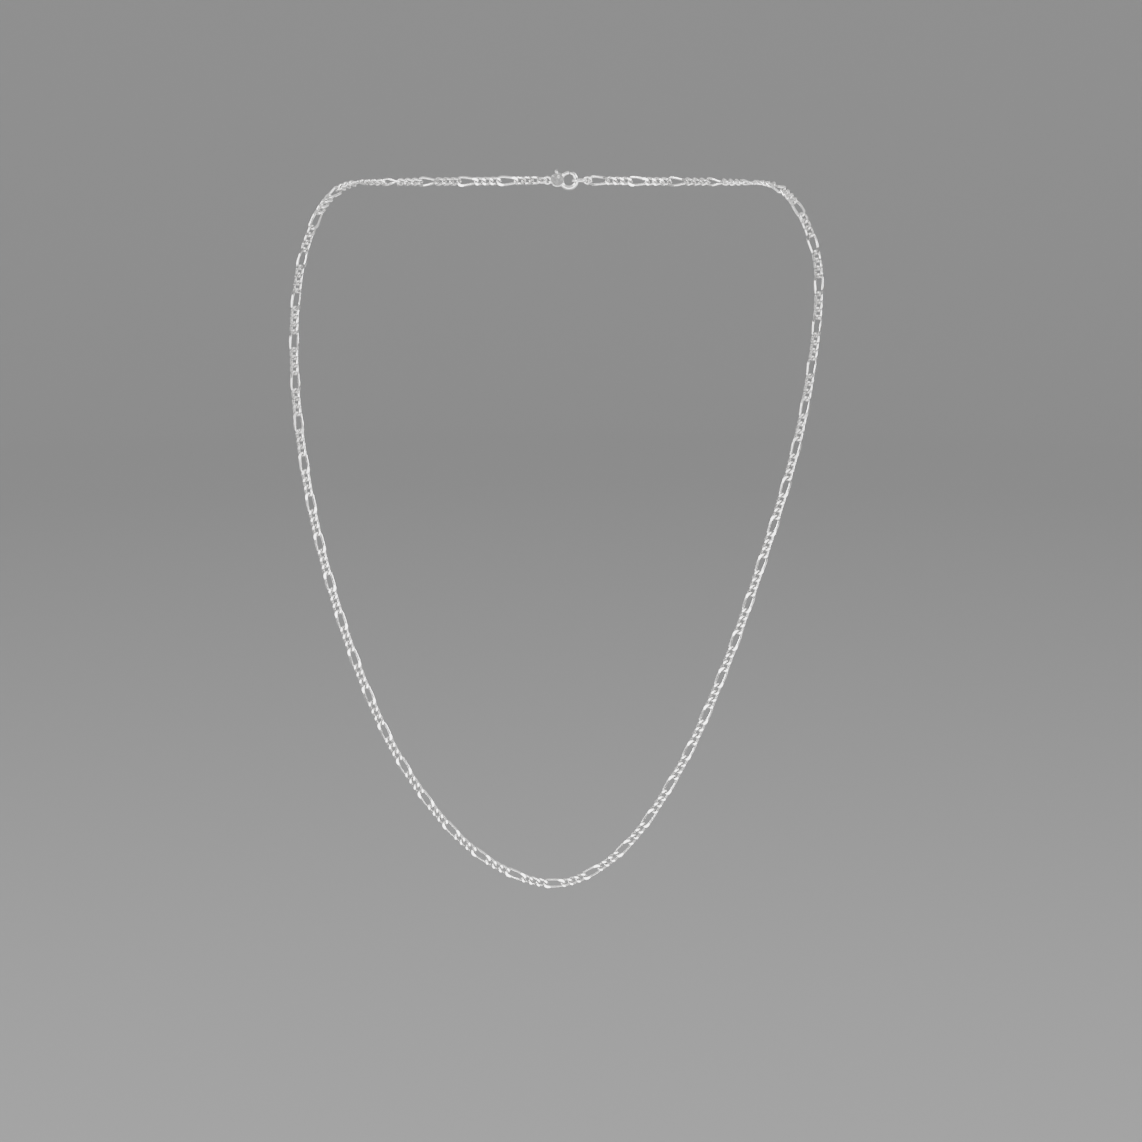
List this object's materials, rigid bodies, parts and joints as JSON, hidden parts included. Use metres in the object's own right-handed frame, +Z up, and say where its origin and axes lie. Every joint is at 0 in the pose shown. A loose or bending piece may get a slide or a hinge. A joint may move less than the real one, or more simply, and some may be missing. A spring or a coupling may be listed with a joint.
{
  "type": "figaro chain necklace",
  "caption": "Polished silver figaro chain necklace with flat-cut curb links and a lobster clasp, draped as worn.",
  "frame": {"origin": "middle of the lobster clasp, where the necklace lies on the wearer's nape", "axes": "+X towards the wearer's left, -Y towards the wearer's front, +Z up"},
  "size_m": [0.1481, 0.0424, 0.202],
  "materials": {
    "silver": "polished"
  },
  "bodies": {
    "clasp": {"clasp_body": "silver", "trigger_pin": "silver", "trigger_spring": "silver"},
    "trigger": {"clasp_trigger": "silver"},
    "clasp_jump_ring": {"clasp_jump_ring": "silver"},
    "end_ring": {"end_ring": "silver"},
    "end_jump_ring": {"end_jump_ring": "silver"},
    "figaro_unit_01": {"figaro_unit_01": "silver"},
    "figaro_unit_02": {"figaro_unit_02": "silver"},
    "figaro_unit_03": {"figaro_unit_03": "silver"},
    "figaro_unit_04": {"figaro_unit_04": "silver"},
    "figaro_unit_05": {"figaro_unit_05": "silver"},
    "figaro_unit_06": {"figaro_unit_06": "silver"},
    "figaro_unit_07": {"figaro_unit_07": "silver"},
    "figaro_unit_08": {"figaro_unit_08": "silver"},
    "figaro_unit_09": {"figaro_unit_09": "silver"},
    "figaro_unit_10": {"figaro_unit_10": "silver"},
    "figaro_unit_11": {"figaro_unit_11": "silver"},
    "figaro_unit_12": {"figaro_unit_12": "silver"},
    "figaro_unit_13": {"figaro_unit_13": "silver"},
    "figaro_unit_14": {"figaro_unit_14": "silver"},
    "figaro_unit_15": {"figaro_unit_15": "silver"},
    "figaro_unit_16": {"figaro_unit_16": "silver"},
    "figaro_unit_17": {"figaro_unit_17": "silver"},
    "figaro_unit_18": {"figaro_unit_18": "silver"},
    "figaro_unit_19": {"figaro_unit_19": "silver"},
    "figaro_unit_20": {"figaro_unit_20": "silver"},
    "figaro_unit_21": {"figaro_unit_21": "silver"},
    "figaro_unit_22": {"figaro_unit_22": "silver"},
    "figaro_unit_23": {"figaro_unit_23": "silver"},
    "figaro_unit_24": {"figaro_unit_24": "silver"},
    "figaro_unit_25": {"figaro_unit_25": "silver"},
    "figaro_unit_26": {"figaro_unit_26": "silver"},
    "figaro_unit_27": {"figaro_unit_27": "silver"},
    "figaro_unit_28": {"figaro_unit_28": "silver"},
    "figaro_unit_29": {"figaro_unit_29": "silver"},
    "figaro_unit_30": {"figaro_unit_30": "silver"},
    "figaro_unit_31": {"figaro_unit_31": "silver"},
    "figaro_unit_32": {"figaro_unit_32": "silver"},
    "figaro_unit_33": {"figaro_unit_33": "silver"},
    "figaro_unit_34": {"figaro_unit_34": "silver"},
    "figaro_unit_35": {"figaro_unit_35": "silver"},
    "figaro_unit_36": {"figaro_unit_36": "silver"},
    "figaro_unit_37": {"figaro_unit_37": "silver"},
    "figaro_unit_38": {"figaro_unit_38": "silver"},
    "figaro_unit_39": {"figaro_unit_39": "silver"},
    "figaro_unit_40": {"figaro_unit_40": "silver"},
    "figaro_unit_41": {"figaro_unit_41": "silver"},
    "figaro_unit_42": {"figaro_unit_42": "silver"},
    "figaro_unit_43": {"figaro_unit_43": "silver"},
    "figaro_unit_44": {"figaro_unit_44": "silver"},
    "figaro_unit_45": {"figaro_unit_45": "silver"},
    "figaro_unit_46": {"figaro_unit_46": "silver"},
    "figaro_unit_47": {"figaro_unit_47": "silver"},
    "figaro_unit_48": {"figaro_unit_48": "silver"},
    "figaro_unit_49": {"figaro_unit_49": "silver"},
    "figaro_unit_50": {"figaro_unit_50": "silver"},
    "figaro_unit_51": {"figaro_unit_51": "silver"}
  },
  "joints": [
    {"name": "clasp_trigger_hinge", "type": "hinge", "parent": "clasp", "child": "trigger", "pos_m": [-0.00055, -0.00001, 0.00105], "axis": [0, 1, 0.0004], "range_deg": [0, 40], "stiffness_Nm_per_rad": 0.0002, "springref_deg": -20.05},
    {"name": "fold_00_clasp_right_side", "type": "hinge", "parent": "clasp", "child": "clasp_jump_ring", "pos_m": [-0.00436, 0, 0], "axis": [-1, 0, 0], "range_deg": [0, 25]},
    {"name": "fold_00_clasp_left_side", "type": "hinge", "parent": "clasp", "child": "end_ring", "pos_m": [0.00404, 0, 0], "axis": [-1, 0, 0], "range_deg": [0, 25]},
    {"name": "fold_01_rings_right_side", "type": "hinge", "parent": "clasp_jump_ring", "child": "figaro_unit_01", "pos_m": [-0.0062, -0.00018, -0.00001], "axis": [-1, 0.0022, 0.0001], "range_deg": [0, 20]},
    {"name": "fold_01_rings_left_side", "type": "hinge", "parent": "end_ring", "child": "end_jump_ring", "pos_m": [0.00669, -0.0002, -0.00001], "axis": [-1, 0.0022, 0.0001], "range_deg": [0, 20]},
    {"name": "fold_02_right_side", "type": "hinge", "parent": "figaro_unit_01", "child": "figaro_unit_02", "pos_m": [-0.01765, -0.0014, -0.00004], "axis": [-0.9992, -0.0412, -0.0008], "range_deg": [0, 4]},
    {"name": "fold_02_left_side", "type": "hinge", "parent": "end_jump_ring", "child": "figaro_unit_51", "pos_m": [0.00846, -0.00033, -0.00002], "axis": [-0.9992, -0.0412, -0.0008], "range_deg": [0, 4]},
    {"name": "fold_03_right_side", "type": "hinge", "parent": "figaro_unit_02", "child": "figaro_unit_03", "pos_m": [-0.02891, -0.00379, 0.00005], "axis": [-0.9991, -0.0413, 0.0017], "range_deg": [0, 14]},
    {"name": "fold_03_left_side", "type": "hinge", "parent": "figaro_unit_51", "child": "figaro_unit_50", "pos_m": [0.01988, -0.00178, -0.00004], "axis": [-0.9991, -0.0413, 0.0017], "range_deg": [0, 14]},
    {"name": "fold_04_right_side", "type": "hinge", "parent": "figaro_unit_03", "child": "figaro_unit_04", "pos_m": [-0.03978, -0.00756, 0.0003], "axis": [-0.999, -0.0443, 0.003], "range_deg": [0, 16]},
    {"name": "fold_04_left_side", "type": "hinge", "parent": "figaro_unit_50", "child": "figaro_unit_49", "pos_m": [0.03109, -0.00442, 0.00009], "axis": [-0.999, -0.0443, 0.003], "range_deg": [0, 16]},
    {"name": "fold_05_right_side", "type": "hinge", "parent": "figaro_unit_04", "child": "figaro_unit_05", "pos_m": [-0.04975, -0.01326, 0.00072], "axis": [-0.9986, -0.0518, 0.0039], "range_deg": [0, 16]},
    {"name": "fold_05_left_side", "type": "hinge", "parent": "figaro_unit_49", "child": "figaro_unit_48", "pos_m": [0.04185, -0.0085, 0.00036], "axis": [-0.9986, -0.0518, 0.0039], "range_deg": [0, 16]},
    {"name": "fold_06_right_side", "type": "hinge", "parent": "figaro_unit_05", "child": "figaro_unit_06", "pos_m": [-0.0579, -0.02135, 0.00114], "axis": [-0.9982, -0.0605, 0.0022], "range_deg": [0, 16]},
    {"name": "fold_06_left_side", "type": "hinge", "parent": "figaro_unit_48", "child": "figaro_unit_47", "pos_m": [0.05148, -0.01472, 0.00089], "axis": [-0.9982, -0.0605, 0.0022], "range_deg": [0, 16]},
    {"name": "fold_07_right_side", "type": "hinge", "parent": "figaro_unit_06", "child": "figaro_unit_07", "pos_m": [-0.06386, -0.03063, -0.00177], "axis": [-0.9979, -0.0613, -0.0217], "range_deg": [0, 16]},
    {"name": "fold_07_left_side", "type": "hinge", "parent": "figaro_unit_47", "child": "figaro_unit_46", "pos_m": [0.05938, -0.02306, 0.00091], "axis": [-0.9979, -0.0613, -0.0217], "range_deg": [0, 16]},
    {"name": "fold_08_right_side", "type": "hinge", "parent": "figaro_unit_07", "child": "figaro_unit_08", "pos_m": [-0.0683, -0.03774, -0.00944], "axis": [-0.998, -0.0404, -0.0492], "range_deg": [0, 14]},
    {"name": "fold_08_left_side", "type": "hinge", "parent": "figaro_unit_46", "child": "figaro_unit_45", "pos_m": [0.06485, -0.03235, -0.00287], "axis": [-0.998, -0.0404, -0.0492], "range_deg": [0, 14]},
    {"name": "fold_09_right_side", "type": "hinge", "parent": "figaro_unit_08", "child": "figaro_unit_09", "pos_m": [-0.07172, -0.03933, -0.0202], "axis": [-0.998, -0.0054, -0.0623], "range_deg": [0, 10]},
    {"name": "fold_09_left_side", "type": "hinge", "parent": "figaro_unit_45", "child": "figaro_unit_44", "pos_m": [0.06906, -0.03857, -0.01141], "axis": [-0.998, -0.0054, -0.0623], "range_deg": [0, 10]},
    {"name": "fold_10_right_side", "type": "hinge", "parent": "figaro_unit_09", "child": "figaro_unit_10", "pos_m": [-0.0733, -0.0394, -0.03161], "axis": [0.9981, 0.0001, 0.0623], "range_deg": [-12, 12]},
    {"name": "fold_10_left_side", "type": "hinge", "parent": "figaro_unit_44", "child": "figaro_unit_43", "pos_m": [0.07141, -0.03939, -0.02257], "axis": [0.9981, 0.0001, 0.0623], "range_deg": [-12, 12]},
    {"name": "fold_11_right_side", "type": "hinge", "parent": "figaro_unit_10", "child": "figaro_unit_11", "pos_m": [-0.07382, -0.03934, -0.04311], "axis": [-0.9981, 0.0002, -0.0621], "range_deg": [-12, 12]},
    {"name": "fold_11_left_side", "type": "hinge", "parent": "figaro_unit_43", "child": "figaro_unit_42", "pos_m": [0.07126, -0.03938, -0.03408], "axis": [-0.9981, 0.0002, -0.0621], "range_deg": [-12, 12]},
    {"name": "fold_12_right_side", "type": "hinge", "parent": "figaro_unit_11", "child": "figaro_unit_12", "pos_m": [-0.07356, -0.03934, -0.05462], "axis": [0.998, 0, 0.0631], "range_deg": [-11, 11]},
    {"name": "fold_12_left_side", "type": "hinge", "parent": "figaro_unit_42", "child": "figaro_unit_41", "pos_m": [0.07011, -0.03934, -0.04554], "axis": [0.998, 0, 0.0631], "range_deg": [-11, 11]},
    {"name": "fold_13_right_side", "type": "hinge", "parent": "figaro_unit_12", "child": "figaro_unit_13", "pos_m": [-0.07266, -0.03934, -0.06611], "axis": [-0.9979, 0, -0.0648], "range_deg": [-11, 11]},
    {"name": "fold_13_left_side", "type": "hinge", "parent": "figaro_unit_41", "child": "figaro_unit_40", "pos_m": [0.06847, -0.03934, -0.05694], "axis": [-0.9979, 0, -0.0648], "range_deg": [-11, 11]},
    {"name": "fold_14_right_side", "type": "hinge", "parent": "figaro_unit_13", "child": "figaro_unit_14", "pos_m": [-0.07124, -0.03934, -0.07754], "axis": [0.9977, 0, 0.0673], "range_deg": [-11, 11]},
    {"name": "fold_14_left_side", "type": "hinge", "parent": "figaro_unit_40", "child": "figaro_unit_39", "pos_m": [0.0663, -0.03934, -0.06826], "axis": [0.9977, 0, 0.0673], "range_deg": [-11, 11]},
    {"name": "fold_15_right_side", "type": "hinge", "parent": "figaro_unit_14", "child": "figaro_unit_15", "pos_m": [-0.06938, -0.03934, -0.08891], "axis": [-0.9975, 0, -0.071], "range_deg": [-11, 11]},
    {"name": "fold_15_left_side", "type": "hinge", "parent": "figaro_unit_39", "child": "figaro_unit_38", "pos_m": [0.06357, -0.03934, -0.07945], "axis": [-0.9975, 0, -0.071], "range_deg": [-11, 11]},
    {"name": "fold_16_right_side", "type": "hinge", "parent": "figaro_unit_15", "child": "figaro_unit_16", "pos_m": [-0.06701, -0.03934, -0.10018], "axis": [0.9972, 0, 0.0754], "range_deg": [-11, 11]},
    {"name": "fold_16_left_side", "type": "hinge", "parent": "figaro_unit_38", "child": "figaro_unit_37", "pos_m": [0.06046, -0.03934, -0.09054], "axis": [0.9972, 0, 0.0754], "range_deg": [-11, 11]},
    {"name": "fold_17_right_side", "type": "hinge", "parent": "figaro_unit_16", "child": "figaro_unit_17", "pos_m": [-0.06426, -0.03934, -0.11137], "axis": [-0.9968, 0, -0.0804], "range_deg": [-11, 11]},
    {"name": "fold_17_left_side", "type": "hinge", "parent": "figaro_unit_37", "child": "figaro_unit_36", "pos_m": [0.05716, -0.03934, -0.10158], "axis": [-0.9968, 0, -0.0804], "range_deg": [-11, 11]},
    {"name": "fold_18_right_side", "type": "hinge", "parent": "figaro_unit_17", "child": "figaro_unit_18", "pos_m": [-0.0611, -0.03934, -0.12244], "axis": [0.9963, 0, 0.0855], "range_deg": [-11, 11]},
    {"name": "fold_18_left_side", "type": "hinge", "parent": "figaro_unit_36", "child": "figaro_unit_35", "pos_m": [0.05378, -0.03934, -0.11259], "axis": [0.9963, 0, 0.0855], "range_deg": [-11, 11]},
    {"name": "fold_19_right_side", "type": "hinge", "parent": "figaro_unit_18", "child": "figaro_unit_19", "pos_m": [-0.05747, -0.03934, -0.13337], "axis": [-0.9959, 0, -0.0909], "range_deg": [-11, 11]},
    {"name": "fold_19_left_side", "type": "hinge", "parent": "figaro_unit_35", "child": "figaro_unit_34", "pos_m": [0.05022, -0.03934, -0.12354], "axis": [-0.9959, 0, -0.0909], "range_deg": [-11, 11]},
    {"name": "fold_20_right_side", "type": "hinge", "parent": "figaro_unit_19", "child": "figaro_unit_20", "pos_m": [-0.05343, -0.03934, -0.14416], "axis": [0.9952, 0, 0.0974], "range_deg": [-10, 10]},
    {"name": "fold_20_left_side", "type": "hinge", "parent": "figaro_unit_34", "child": "figaro_unit_33", "pos_m": [0.04636, -0.03934, -0.1344], "axis": [0.9952, 0, 0.0974], "range_deg": [-10, 10]},
    {"name": "fold_21_right_side", "type": "hinge", "parent": "figaro_unit_20", "child": "figaro_unit_21", "pos_m": [-0.04883, -0.03934, -0.15472], "axis": [-0.9945, 0, -0.1045], "range_deg": [-10, 10]},
    {"name": "fold_21_left_side", "type": "hinge", "parent": "figaro_unit_33", "child": "figaro_unit_32", "pos_m": [0.04222, -0.03934, -0.14515], "axis": [-0.9945, 0, -0.1045], "range_deg": [-10, 10]},
    {"name": "fold_22_right_side", "type": "hinge", "parent": "figaro_unit_21", "child": "figaro_unit_22", "pos_m": [-0.04331, -0.03934, -0.16483], "axis": [0.9938, 0, 0.1114], "range_deg": [-10, 10]},
    {"name": "fold_22_left_side", "type": "hinge", "parent": "figaro_unit_32", "child": "figaro_unit_31", "pos_m": [0.03771, -0.03934, -0.15575], "axis": [0.9938, 0, 0.1114], "range_deg": [-10, 10]},
    {"name": "fold_23_right_side", "type": "hinge", "parent": "figaro_unit_22", "child": "figaro_unit_23", "pos_m": [-0.03695, -0.03934, -0.17443], "axis": [-0.9927, 0, -0.1204], "range_deg": [-9, 9]},
    {"name": "fold_23_left_side", "type": "hinge", "parent": "figaro_unit_31", "child": "figaro_unit_30", "pos_m": [0.03247, -0.03934, -0.166], "axis": [-0.9927, 0, -0.1204], "range_deg": [-9, 9]},
    {"name": "fold_24_right_side", "type": "hinge", "parent": "figaro_unit_23", "child": "figaro_unit_24", "pos_m": [-0.02957, -0.03934, -0.18326], "axis": [0.9916, 0, 0.1293], "range_deg": [-9, 9]},
    {"name": "fold_24_left_side", "type": "hinge", "parent": "figaro_unit_30", "child": "figaro_unit_29", "pos_m": [0.02663, -0.03934, -0.17593], "axis": [0.9916, 0, 0.1293], "range_deg": [-9, 9]},
    {"name": "fold_25_right_side", "type": "hinge", "parent": "figaro_unit_24", "child": "figaro_unit_25", "pos_m": [-0.02077, -0.03934, -0.19067], "axis": [-0.991, 0, -0.1342], "range_deg": [-9, 9]},
    {"name": "fold_25_left_side", "type": "hinge", "parent": "figaro_unit_29", "child": "figaro_unit_28", "pos_m": [0.01977, -0.03934, -0.18517], "axis": [-0.991, 0, -0.1342], "range_deg": [-9, 9]},
    {"name": "fold_26_right_side", "type": "hinge", "parent": "figaro_unit_25", "child": "figaro_unit_26", "pos_m": [-0.01056, -0.03934, -0.19594], "axis": [0.9897, 0, 0.1433], "range_deg": [-8, 8]},
    {"name": "fold_26_left_side", "type": "hinge", "parent": "figaro_unit_28", "child": "figaro_unit_27", "pos_m": [0.01117, -0.03934, -0.19279], "axis": [0.9897, 0, 0.1433], "range_deg": [-8, 8]}
  ],
  "couplings": [
    {"joint": "fold_00_clasp_left_side", "follows": "fold_00_clasp_right_side", "ratio": 1},
    {"joint": "fold_01_rings_left_side", "follows": "fold_01_rings_right_side", "ratio": 1},
    {"joint": "fold_02_left_side", "follows": "fold_02_right_side", "ratio": 1},
    {"joint": "fold_03_left_side", "follows": "fold_03_right_side", "ratio": 1},
    {"joint": "fold_04_left_side", "follows": "fold_04_right_side", "ratio": 1},
    {"joint": "fold_05_left_side", "follows": "fold_05_right_side", "ratio": 1},
    {"joint": "fold_06_left_side", "follows": "fold_06_right_side", "ratio": 1},
    {"joint": "fold_07_left_side", "follows": "fold_07_right_side", "ratio": 1},
    {"joint": "fold_08_left_side", "follows": "fold_08_right_side", "ratio": 1},
    {"joint": "fold_09_left_side", "follows": "fold_09_right_side", "ratio": 1},
    {"joint": "fold_10_left_side", "follows": "fold_10_right_side", "ratio": 1},
    {"joint": "fold_11_left_side", "follows": "fold_11_right_side", "ratio": 1},
    {"joint": "fold_12_left_side", "follows": "fold_12_right_side", "ratio": 1},
    {"joint": "fold_13_left_side", "follows": "fold_13_right_side", "ratio": 1},
    {"joint": "fold_14_left_side", "follows": "fold_14_right_side", "ratio": 1},
    {"joint": "fold_15_left_side", "follows": "fold_15_right_side", "ratio": 1},
    {"joint": "fold_16_left_side", "follows": "fold_16_right_side", "ratio": 1},
    {"joint": "fold_17_left_side", "follows": "fold_17_right_side", "ratio": 1},
    {"joint": "fold_18_left_side", "follows": "fold_18_right_side", "ratio": 1},
    {"joint": "fold_19_left_side", "follows": "fold_19_right_side", "ratio": 1},
    {"joint": "fold_20_left_side", "follows": "fold_20_right_side", "ratio": 1},
    {"joint": "fold_21_left_side", "follows": "fold_21_right_side", "ratio": 1},
    {"joint": "fold_22_left_side", "follows": "fold_22_right_side", "ratio": 1},
    {"joint": "fold_23_left_side", "follows": "fold_23_right_side", "ratio": 1},
    {"joint": "fold_24_left_side", "follows": "fold_24_right_side", "ratio": 1},
    {"joint": "fold_25_left_side", "follows": "fold_25_right_side", "ratio": 1},
    {"joint": "fold_26_left_side", "follows": "fold_26_right_side", "ratio": 1}
  ]
}
